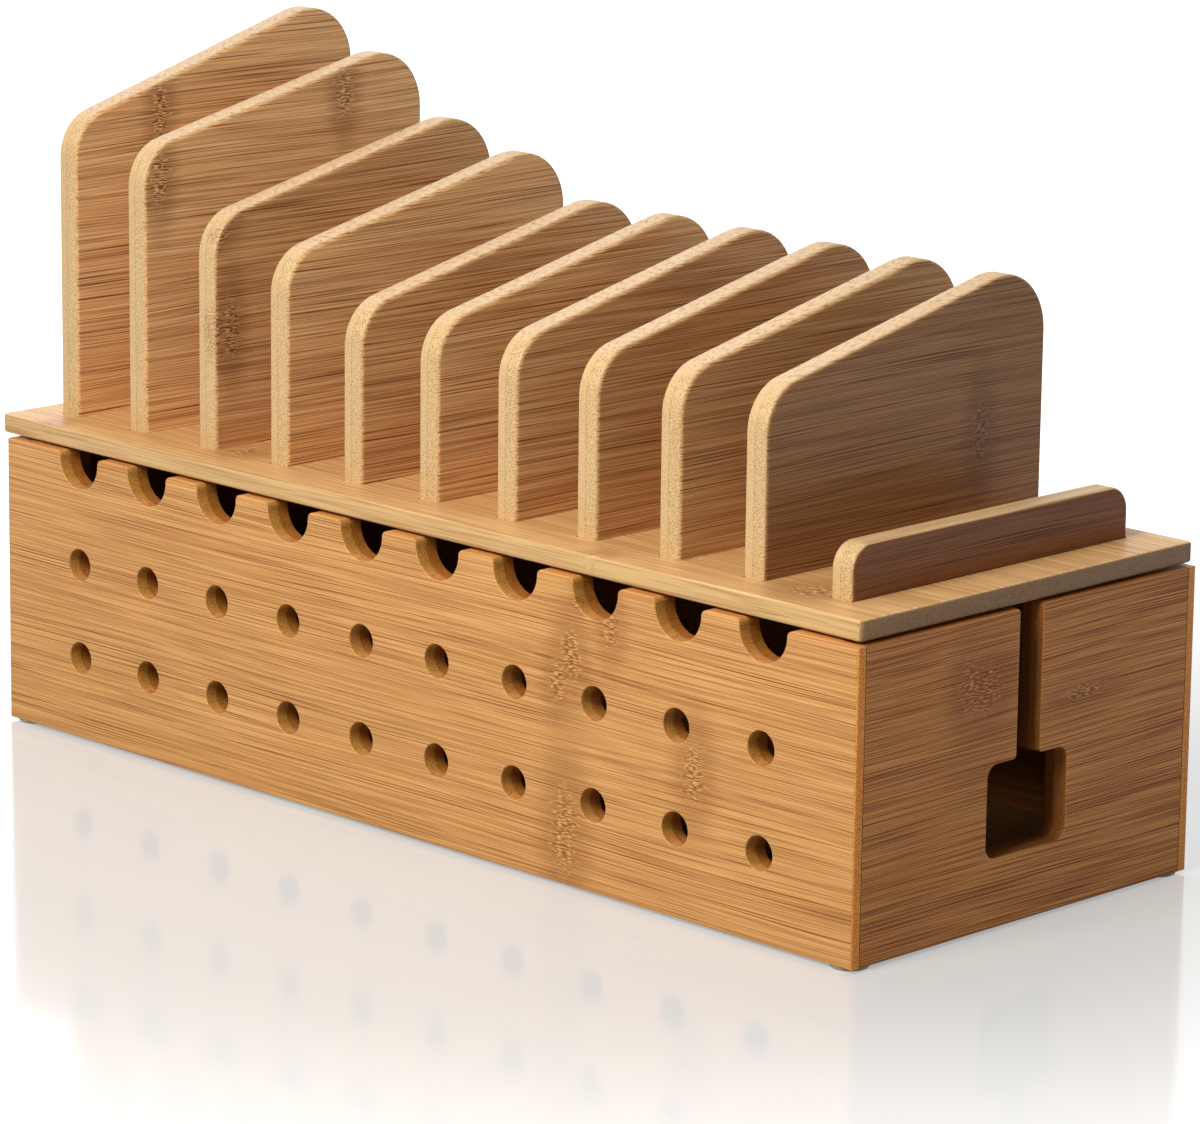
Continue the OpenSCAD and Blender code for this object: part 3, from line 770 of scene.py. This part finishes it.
class STATION_OT_materials(bpy.types.Operator):
    """Make the bamboo, rubber and steel that the pieces share"""

    bl_idname = "station.materials"
    bl_label = "Materials"

    def execute(self, context):
        c = context.scene.bamboo_colours
        plain = (1.0, 1.0, 1.0)
        group = bamboo_group()
        wall = (c.wall_pale, c.wall_brown, c.wall_line, c.wall_edge, c.wall_end, c.inner_shade)
        bamboo(group, "lacquered bamboo, long walls", "XZY", wall, 0.88,
               [((86, -83, 80), 5, 10), ((80, -83, 70), 4, 8), ((104, -83, 93), 4, 8), ((90, -83, 99), 3, 4),
                ((143, -83, 51), 5, 11), ((84, -83, 20), 6, 17)], inner=(0.0, 78.5),
               sawn=((FRONT_LOW.x + FRONT_HIGH.x) / 2 / MM, (FRONT_HIGH.x - FRONT_LOW.x) / 2 / MM, c.wall_hole_shade))
        # The end walls' edges and end grain, mostly inside the keyhole, take the keyhole colour as painted shade
        end_wall = (c.end_pale, c.end_brown, c.end_line, c.keyhole, c.keyhole, c.inner_shade)
        bamboo(group, "lacquered bamboo, end walls", "YZX", end_wall, 1.35,
               [((213, -30, 84), 5, 10), ((213, -22, 82), 8, 9), ((213, 27, 73), 12, 3)],
               inner=((FRONT_LOW.x + FRONT_HIGH.x) / 2 / MM, 205.0))
        bamboo(group, "lacquered bamboo, lid", "XYZ",
               (c.lid_pale, c.lid_brown, c.lid_line, c.lid_edge, c.lid_end, plain), 0.85,
               [((-105, -57, 114), 6, 8), ((174, -62, 114), 8, 8), ((-186, -80, 111), 4, 6),
                ((92, -80, 111), 4, 6)])
        # The dividers' darkness is partly each board's tone and partly painted shade, darkest on the last divider and
        # the stop, which light reaches least
        bamboo(group, "lacquered bamboo, dividers", "YZX",
               (c.board_pale, c.board_brown, c.board_line, c.edge, c.end_grain, plain), 0.92,
               [((-189, -24, 223), 4, 12), ((-151, 32, 228), 4, 10), ((-151, -57, 206), 4, 11),
                ((-112, -57, 157), 4, 12), ((-112, -58, 203), 4, 9), ((-114, -65, 157), 3, 10),
                ((-114, -62, 191), 4, 4), ((155, 39, 148), 4, 12)],
               boards=(FIRST_LOW.x / MM, (SECOND_LOW.x - FIRST_LOW.x) / MM),
               board_tone_and_painted_shade=(0.0, 0.0, 0.28, 0.02, 0.25, 0.06, 0.18, 0.34, 0.14, 0.72, 1.0))
        # The boards inside the box are raw bamboo, painted darker as shade inside the box
        raw = (c.raw_shaded_pale, c.raw_shaded_brown, c.wall_line, c.raw_shaded_pale, c.raw_shaded_pale, plain)
        for name, axes in (("bottom", "XYZ"), ("blocks", "ZXY"), ("cleats", "YXZ")):
            bamboo(group, "raw sanded bamboo, " + name, axes, raw, 0.6, whole=False)
        soft_rubber("milky bumper rubber")
        zinc_steel("zinc-plated steel")
        return {"FINISHED"}


class STATION_OT_walls(bpy.types.Operator):
    """Build the four walls, with notches, vents and keyhole"""

    bl_idname = "station.walls"
    bl_label = "Walls"

    def execute(self, context):
        size = context.scene.wall_sizes
        wood = bpy.data.materials["lacquered bamboo, long walls"]
        end_wood = bpy.data.materials["lacquered bamboo, end walls"]
        thickness = FRONT_HIGH.y - FRONT_LOW.y
        left, right, foot, top = FRONT_LOW.x, FRONT_HIGH.x, FRONT_LOW.z, FRONT_HIGH.z
        pitch = (right - left - 2 * size.vent_in) / (size.vents - 1)
        ease, rim, over = size.edge_ease, size.hole_ease, 2 * MM
        radius, flare = size.notch_width / 2, size.notch_flare

        outline = [(left, foot, rim), (right, foot, rim), (right, top - 2 * ease, ease), (right, top, ease)]
        for i in reversed(range(size.vents)):
            x = left + size.vent_in + i * pitch
            outline += [(x + radius + flare + ease, top, ease)]
            outline += arc((x + radius + flare, top - flare), flare, 90, 180, 8, rim)
            outline += arc((x, top - size.notch_depth + radius), radius, 0, -180, 40, rim)
            outline += arc((x - radius - flare, top - flare), flare, 0, 90, 8, rim)
            outline += [(x - radius - flare - ease, top, ease)]
        outline += [(left, top, ease), (left, top - 2 * ease, ease)]
        piece = new_piece("front_wall", plate(
            outline, thickness, 0.5, lambda a, b, d: (a, FRONT_LOW.y + d, b)))
        drill = self.drill(size, thickness)
        grow(piece, pattern_cut_tree(), {
            "Tool": drill, "Start": (left + size.vent_in, FRONT_LOW.y, foot + size.vent_lower),
            "Step": (pitch, 0.0, 0.0), "Count": size.vents,
            "Row step": (0.0, 0.0, size.vent_upper - size.vent_lower), "Rows": 2, "Material": wood})
        bpy.data.objects.remove(drill)
        inside = FRONT_HIGH.y + over
        cut(piece, self.joints((FRONT_LOW.y + size.lip, inside), (FRONT_HIGH.y - size.groove_depth, inside)))
        finish_mesh(piece, wood)
        keep(piece, "box", "bamboo_wall", "front_panel")

        outline = [(left, foot, rim), (right, foot, rim), (right, top, ease), (left, top, ease)]
        piece = new_piece("back_wall", plate(
            outline, thickness, 0.5, lambda a, b, d: (a, BACK_HIGH.y - d, b)))
        inside = BACK_LOW.y - over
        cut(piece, self.joints((inside, BACK_HIGH.y - size.lip), (inside, BACK_LOW.y + size.groove_depth)))
        finish_mesh(piece, wood)
        keep(piece, "box", "bamboo_wall", "back_panel")

        front, back = RIGHT_LOW.y, RIGHT_HIGH.y
        middle = (front + back) / 2
        corner, small = size.plug_corner, size.slot_corner
        half_slot, half_plug = size.slot_width / 2, size.plug_width / 2
        sill = foot + size.plug_up
        head = sill + size.plug_height
        outline = [(front, foot, 0.2 * rim), (back, foot, 0.2 * rim), (back, top, 0.2 * rim)]
        outline += [(middle + half_slot + small + ease, top, rim)]
        outline += arc((middle + half_slot + small, top - small), small, 90, 180, 8, rim)
        outline += arc((middle + half_slot + small, head + small), small, 180, 270, 8, rim)
        outline += arc((middle + half_plug - corner, head - corner), corner, 90, 0, 12, rim)
        outline += arc((middle + half_plug - corner, sill + corner), corner, 0, -90, 12, rim)
        outline += arc((middle - half_plug + corner, sill + corner), corner, -90, -180, 12, rim)
        outline += arc((middle - half_plug + corner, head - corner), corner, 180, 90, 12, rim)
        outline += arc((middle - half_slot - small, head + small), small, -90, 0, 8, rim)
        outline += arc((middle - half_slot - small, top - small), small, 0, 90, 8, rim)
        outline += [(middle - half_slot - small - ease, top, rim), (front, top, 0.2 * rim)]
        piece = new_piece("keyhole_wall", plate(
            outline, thickness, 1.0, lambda a, b, d: (RIGHT_HIGH.x - d, a, b)))
        cut(piece, [block((RIGHT_LOW.x - ease, front - ease, FLOOR_BOARD_LOW.z),
                          (RIGHT_LOW.x + size.groove_depth, back + ease, FLOOR_BOARD_HIGH.z))])
        finish_mesh(piece, end_wood)
        keep(piece, "box", "bamboo_end_wall", "right_end_panel")

        outline = [(front, foot, 0.2 * rim), (back, foot, 0.2 * rim), (back, top, 0.2 * rim), (front, top, 0.2 * rim)]
        piece = new_piece("plain_end_wall", plate(
            outline, thickness, 1.0, lambda a, b, d: (LEFT_LOW.x + d, a, b)))
        cut(piece, [block((LEFT_HIGH.x - size.groove_depth, front - ease, FLOOR_BOARD_LOW.z),
                          (LEFT_HIGH.x + ease, back + ease, FLOOR_BOARD_HIGH.z))])
        finish_mesh(piece, end_wood)
        keep(piece, "box", "bamboo_end_wall", "left_end_panel")
        return {"FINISHED"}

    def drill(self, size, thickness):
        """A drill that lies along +Y and leaves rounded rims on both faces."""
        radius, ease = size.vent_diameter / 2, size.hole_ease
        beyond = 2 * MM
        flare = [(radius + ease * (1 - math.cos(t)), ease * (1 - math.sin(t)))
                 for t in (math.radians(90 - 15 * i) for i in range(7))]
        profile = [(0, -beyond), (flare[0][0], -beyond)] + flare
        profile += [(r, thickness - d) for r, d in reversed(flare)]
        profile += [(flare[0][0], thickness + beyond), (0, thickness + beyond)]
        tool = new_piece("drill", turned(profile, 48))
        tool.data.transform(Matrix.Rotation(math.radians(-90), 4, "X"))
        return tool

    def joints(self, rebate, groove):
        """Cutters for a long wall's two end rebates and its bottom groove, from their ranges in Y."""
        over = 2 * MM
        ends = ((FRONT_LOW.x - over, LEFT_HIGH.x), (RIGHT_LOW.x, FRONT_HIGH.x + over))
        cutters = [block((low, rebate[0], FRONT_LOW.z - over), (high, rebate[1], FRONT_HIGH.z + over))
                   for low, high in ends]
        cutters.append(block((LEFT_HIGH.x - over / 4, groove[0], FLOOR_BOARD_LOW.z),
                             (RIGHT_LOW.x + over / 4, groove[1], FLOOR_BOARD_HIGH.z)))
        return cutters


class STATION_OT_inside(bpy.types.Operator):
    """Give the boards inside the box their raw bamboo, painted darker as shade inside the box"""

    bl_idname = "station.inside"
    bl_label = "Inside"

    def execute(self, context):
        dress(["bottom_board"], bpy.data.materials["raw sanded bamboo, bottom"])
        dress([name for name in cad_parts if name.startswith("corner_block")],
              bpy.data.materials["raw sanded bamboo, blocks"])
        dress(["left_cleat", "right_cleat"], bpy.data.materials["raw sanded bamboo, cleats"])
        return {"FINISHED"}


class STATION_OT_lid(bpy.types.Operator):
    """Build the lid plate with its seats and countersunk holes"""

    bl_idname = "station.lid"
    bl_label = "Lid"

    def execute(self, context):
        size = context.scene.lid_sizes
        hardware = context.scene.hardware_sizes
        wood = bpy.data.materials["lacquered bamboo, lid"]
        corner, ease = size.corner, size.edge_ease
        left, right, front, back = LID_LOW.x, LID_HIGH.x, LID_LOW.y, LID_HIGH.y
        outline = arc((right - corner, front + corner), corner, -90, 0, 6, ease)
        outline += arc((right - corner, back - corner), corner, 0, 90, 6, ease)
        outline += arc((left + corner, back - corner), corner, 90, 180, 6, ease)
        outline += arc((left + corner, front + corner), corner, 180, 270, 6, ease)
        piece = new_piece("lid_board", plate(
            outline, LID_HIGH.z - LID_LOW.z, 1.0, lambda a, b, d: (a, b, LID_HIGH.z - d)))
        thickness = STOP_HIGH.x - STOP_LOW.x
        gap = size.seat_gap
        pitch = SECOND_LOW.x - FIRST_LOW.x
        rows = len(DIVIDERS) + 1
        seat = new_piece("seat", block(
            (-gap, -gap, -size.seat_depth), (thickness + gap, STOP_HIGH.y - STOP_LOW.y + gap, size.seat_depth)))
        tree = pattern_cut_tree()
        grow(piece, tree, {
            "Tool": seat, "Start": (FIRST_LOW.x, FIRST_LOW.y, LID_HIGH.z), "Step": (pitch, 0.0, 0.0),
            "Count": rows, "Row step": (0.0, 0.0, 0.0), "Rows": 1, "Material": wood})
        head, shank = hardware.head_diameter / 2 + 0.05 * MM, hardware.screw_diameter / 2 + 0.05 * MM
        sink = new_piece("countersink", turned([
            (0, -2 * MM), (head, -2 * MM), (head, 0), (shank, head - shank), (shank, 6 * MM), (0, 6 * MM)], 24))
        inset = SCREWS_LOW.y + hardware.head_diameter / 2
        grow(piece, tree, {
            "Tool": sink, "Start": (FIRST_LOW.x + thickness / 2, inset, LID_LOW.z), "Step": (pitch, 0.0, 0.0),
            "Count": rows, "Row step": (0.0, SCREWS_HIGH.y - SCREWS_LOW.y - hardware.head_diameter, 0.0),
            "Rows": 2, "Material": wood})
        bpy.data.objects.remove(seat)
        bpy.data.objects.remove(sink)
        finish_mesh(piece, wood)
        keep(piece, "lid", "bamboo_lid", "lid_plate")
        return {"FINISHED"}


class STATION_OT_dividers(bpy.types.Operator):
    """Build the row of dividers and the low stop"""

    bl_idname = "station.dividers"
    bl_label = "Dividers"

    def execute(self, context):
        size = context.scene.divider_sizes
        seat = context.scene.lid_sizes.seat_depth
        wood = bpy.data.materials["lacquered bamboo, dividers"]
        tree = rounded_board_tree()
        for i, node in enumerate(DIVIDERS + ["end_stop"]):
            low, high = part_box(node)
            stop = node == "end_stop"
            values = {
                "Thickness": high.x - low.x, "Depth": high.y - low.y, "Seat": seat,
                "Front height": high.z - LID_HIGH.z if stop else size.heights[min(i, 4)],
                "Rise": 0.0 if stop else size.first_rise if i == 0 else size.rise,
                "Front corner": size.stop_corner if stop else size.front_corner,
                "Back corner": size.stop_corner if stop else size.back_corner,
                "Edge ease": size.edge_ease, "Material": wood,
                "Place": ((low.x + high.x) / 2, low.y, LID_HIGH.z)}
            piece = grow(new_piece("stop_rail" if stop else "board_" + node[-2:], bpy.data.meshes.new(node)),
                         tree, values)
            finish_mesh(piece, wood)
            keep(piece, "lid", "bamboo_divider", node)
        return {"FINISHED"}


class STATION_OT_hardware(bpy.types.Operator):
    """Build the feet, the pads under the lid and the wood screws"""

    bl_idname = "station.hardware"
    bl_label = "Bumpers and screws"

    def execute(self, context):
        size = context.scene.hardware_sizes
        tree = pattern_copy_tree()
        rubber = bpy.data.materials["milky bumper rubber"]
        steel = bpy.data.materials["zinc-plated steel"]
        foot = FOOT_HIGH.x - FOOT_LOW.x
        feet = ["foot_front_left", "foot_front_right", "foot_back_left", "foot_back_right"]
        tool = self.bumper(foot / 2, FOOT_HIGH.z - FOOT_LOW.z, size.bumper_ease)
        self.lay(tree, tool, "feet", "box", "clear_bumper", rubber, feet,
                 (FOOT_LOW.x + foot / 2, FOOT_LOW.y + foot / 2, FOOT_LOW.z),
                 (FOOT_FAR_HIGH.x - FOOT_LOW.x - foot, 0.0, 0.0), 2,
                 (0.0, FOOT_FAR_HIGH.y - FOOT_LOW.y - foot, 0.0), 0.0)
        pad = 9 * MM
        tool = self.bumper(pad / 2, PADS_HIGH.z - PADS_LOW.z, 0.8 * size.bumper_ease, up=True)
        self.lay(tree, tool, "lid_bumpers", "box", "clear_bumper", rubber, ["lid_pads"],
                 (PADS_LOW.x + pad / 2, PADS_LOW.y + pad / 2, PADS_LOW.z),
                 (PADS_HIGH.x - PADS_LOW.x - pad, 0.0, 0.0), 2,
                 (0.0, PADS_HIGH.y - PADS_LOW.y - pad, 0.0), 0.0)
        head = size.head_diameter
        tool = self.screw(size, SCREWS_HIGH.z - SCREWS_LOW.z)
        rows = len(DIVIDERS) + 1
        self.lay(tree, tool, "board_screws", "lid", "screw_steel", steel, ["divider_screws"],
                 (SCREWS_LOW.x + head / 2, SCREWS_LOW.y + head / 2, SCREWS_LOW.z),
                 ((SCREWS_HIGH.x - SCREWS_LOW.x - head) / (rows - 1), 0.0, 0.0), rows,
                 (0.0, SCREWS_HIGH.y - SCREWS_LOW.y - head, 0.0), 2 * math.pi)
        tool = self.screw(size, CLEAT_SCREWS_HIGH.z - CLEAT_SCREWS_LOW.z)
        self.lay(tree, tool, "strip_screws", "lid", "screw_steel", steel, ["cleat_screws"],
                 (CLEAT_SCREWS_LOW.x + head / 2, CLEAT_SCREWS_LOW.y + head / 2, CLEAT_SCREWS_LOW.z),
                 (CLEAT_SCREWS_HIGH.x - CLEAT_SCREWS_LOW.x - head, 0.0, 0.0), 2,
                 (0.0, CLEAT_SCREWS_HIGH.y - CLEAT_SCREWS_LOW.y - head, 0.0), 2 * math.pi)
        return {"FINISHED"}

    def lay(self, tree, tool, name, body, slot, material, nodes, start, step, count, row_step, spin):
        """Lays copies of a tool in two rows as one piece."""
        piece = grow(new_piece(name, bpy.data.meshes.new(name)), tree, {
            "Tool": tool, "Start": start, "Step": step, "Count": count, "Row step": row_step, "Rows": 2,
            "Spin": spin, "Material": material})
        bpy.data.objects.remove(tool)
        finish_mesh(piece, material)
        keep(piece, body, slot, *nodes)

    def bumper(self, radius, height, ease, up=False):
        """A stick-on disc with a rounded free edge, below or above."""
        curve = [(radius - ease * (1 - math.sin(t)), ease * (1 - math.cos(t)))
                 for t in (math.radians(18 * i) for i in range(6))]
        profile = [(0, 0), (radius - ease - 0.3 * MM, 0)] + curve + [(radius, height), (0, height)]
        if up:
            profile = [(r, height - z) for r, z in profile][::-1]
        return new_piece("bumper", turned(profile, 48))

    def screw(self, size, length):
        """A countersunk wood screw, head down, with a cross recess and a thread of ring grooves."""
        head, shank = size.head_diameter / 2, size.screw_diameter / 2
        core = 0.68 * shank
        profile = [(0, 0), (head - 0.15 * MM, 0), (head, 0.12 * MM), (shank, head - shank)]
        z, pitch = head - shank + 1.0 * MM, 1.1 * MM
        profile += [(shank, z)]
        while z < length - 3.2 * MM:
            profile += [(core, z + 0.3 * pitch), (core, z + 0.7 * pitch), (shank, z + pitch)]
            z += pitch
        profile += [(core, z + 0.3 * pitch), (0.4 * core, length - 0.8 * MM), (0, length)]
        piece = new_piece("screw", turned(profile, 28))
        arm, slot = size.drive / 2, 0.45 * MM
        cut(piece, [block((-arm, -slot, -MM), (arm, slot, 1.2 * MM)),
                    block((-slot, -arm, -MM), (slot, arm, 1.25 * MM))])
        return piece


class STATION_OT_studio(bpy.types.Operator):
    """Set the floor, the lights and the camera"""

    bl_idname = "station.studio"
    bl_label = "Studio"

    def execute(self, context):
        settings = context.scene.studio_settings
        self.floor(settings)
        self.sky(settings)
        self.lamp("key", (0.2, -0.98, 0.88), 0.5, settings.key_power, "#FFF8EE")
        self.lamp("left", (-2.2, 0.9, 1.1), 2.0, settings.left_power, "#F4F8FF")
        self.lamp("top", (-0.7, 0.3, 1.3), 1.0, settings.top_power, "#F4F8FF")
        camera = bpy.data.cameras.new("camera")
        camera.lens = settings.focal_length
        camera.sensor_width = 36.0
        camera.shift_x, camera.shift_y = 0.05078, 0.01696
        camera.clip_start, camera.clip_end = 0.05, 50.0
        holder = bpy.data.objects.new("camera", camera)
        holder.location = settings.camera_place
        holder.rotation_euler = settings.camera_turn
        context.scene.collection.objects.link(holder)
        context.scene.camera = holder
        context.scene.view_settings.view_transform = "Standard"
        return {"FINISHED"}

    def floor(self, settings):
        """A pale glossy floor that holds a soft shadow and reflection and fades into the backdrop."""
        mesh = bpy.data.meshes.new("floor")
        mesh.from_pydata([(-9, -9, 0), (9, -9, 0), (9, 9, 0), (-9, 9, 0)], [], [(0, 1, 2, 3)])
        piece = new_piece("floor", mesh)
        material = bpy.data.materials.new("white acrylic")
        material.use_nodes = True
        tree = material.node_tree
        shader = tree.nodes["Principled BSDF"]
        where = add(tree, "ShaderNodeTexCoord")
        far = add(tree, "ShaderNodeVectorMath", {0: where.outputs["Object"]}, operation="LENGTH")
        far = add(tree, "ShaderNodeMapRange", {
            "Value": far.outputs["Value"], "From Min": 0.22, "From Max": 0.6, "To Min": 0.38, "To Max": 1.0},
            interpolation_type="SMOOTHSTEP")
        glow = add(tree, "ShaderNodeMath", {0: far, 1: self.seen(tree)}, operation="MULTIPLY")
        tree.links.new(glow.outputs[0], shader.inputs["Emission Strength"])
        shader.inputs["Emission Color"].default_value = (1.0, 1.0, 1.0, 1.0)
        shader.inputs["Base Color"].default_value = (*settings.floor, 1.0)
        shader.inputs["Roughness"].default_value = 0.1
        shader.inputs["IOR"].default_value = 1.6
        mesh.materials.append(material)

    def seen(self, tree):
        """One where the camera looks, also in a mirror or through glass, and nought elsewhere."""
        path = add(tree, "ShaderNodeLightPath")
        seen = add(tree, "ShaderNodeMath", {
            0: path.outputs["Is Camera Ray"], 1: path.outputs["Is Glossy Ray"]}, operation="MAXIMUM")
        return add(tree, "ShaderNodeMath", {0: seen, 1: path.outputs["Is Transmission Ray"]}, operation="MAXIMUM")

    def sky(self, settings):
        """Even light all round, seen as plain white by the camera and in reflections."""
        world = bpy.data.worlds.new("studio")
        bpy.context.scene.world = world
        world.use_nodes = True
        tree = world.node_tree
        back = tree.nodes["Background"]
        strength = add(tree, "ShaderNodeMapRange", {
            "Value": self.seen(tree), "To Min": settings.sky, "To Max": 1.0})
        tree.links.new(strength.outputs[0], back.inputs["Strength"])
        back.inputs["Color"].default_value = (1.0, 1.0, 1.0, 1.0)

    def lamp(self, name, place, width, power, hex_colour):
        """A square soft box that faces the object."""
        light = bpy.data.lights.new(name, "AREA")
        light.shape = "SQUARE"
        light.size = width
        light.energy = power
        light.color = linear(hex_colour)
        holder = bpy.data.objects.new(name, light)
        holder.location = place
        aim = Vector((0.0, 0.0, 0.1)) - Vector(place)
        holder.rotation_euler = aim.to_track_quat("-Z", "Y").to_euler()
        bpy.context.scene.collection.objects.link(holder)


class STATION_PT_panel(bpy.types.Panel):
    """Lists the steps and sizes of the station"""

    bl_label = "Charging station"
    bl_space_type = "VIEW_3D"
    bl_region_type = "UI"
    bl_category = "Station"

    def draw(self, context):
        for operator in OPERATORS:
            self.layout.operator(operator.bl_idname)
        for name, group in GROUPS.items():
            box = self.layout.box()
            box.label(text=group.__doc__)
            for key in group.__annotations__:
                box.prop(getattr(context.scene, name), key)


GROUPS = {"wall_sizes": WallSizes, "lid_sizes": LidSizes, "divider_sizes": DividerSizes,
          "hardware_sizes": HardwareSizes, "bamboo_colours": BambooColours, "studio_settings": StudioSettings}
OPERATORS = (STATION_OT_materials, STATION_OT_walls, STATION_OT_inside, STATION_OT_lid, STATION_OT_dividers,
             STATION_OT_hardware, STATION_OT_studio)


def register():
    for name, group in GROUPS.items():
        bpy.utils.register_class(group)
        setattr(bpy.types.Scene, name, PointerProperty(type=group))
    for operator in OPERATORS:
        bpy.utils.register_class(operator)
    bpy.utils.register_class(STATION_PT_panel)


def unregister():
    bpy.utils.unregister_class(STATION_PT_panel)
    for operator in reversed(OPERATORS):
        bpy.utils.unregister_class(operator)
    for name, group in reversed(GROUPS.items()):
        delattr(bpy.types.Scene, name)
        bpy.utils.unregister_class(group)


def main():
    register()
    bpy.ops.station.materials()
    bpy.ops.station.walls()
    bpy.ops.station.inside()
    bpy.ops.station.lid()
    bpy.ops.station.dividers()
    bpy.ops.station.hardware()
    bpy.ops.station.studio()


if __name__ == "__main__":
    main()
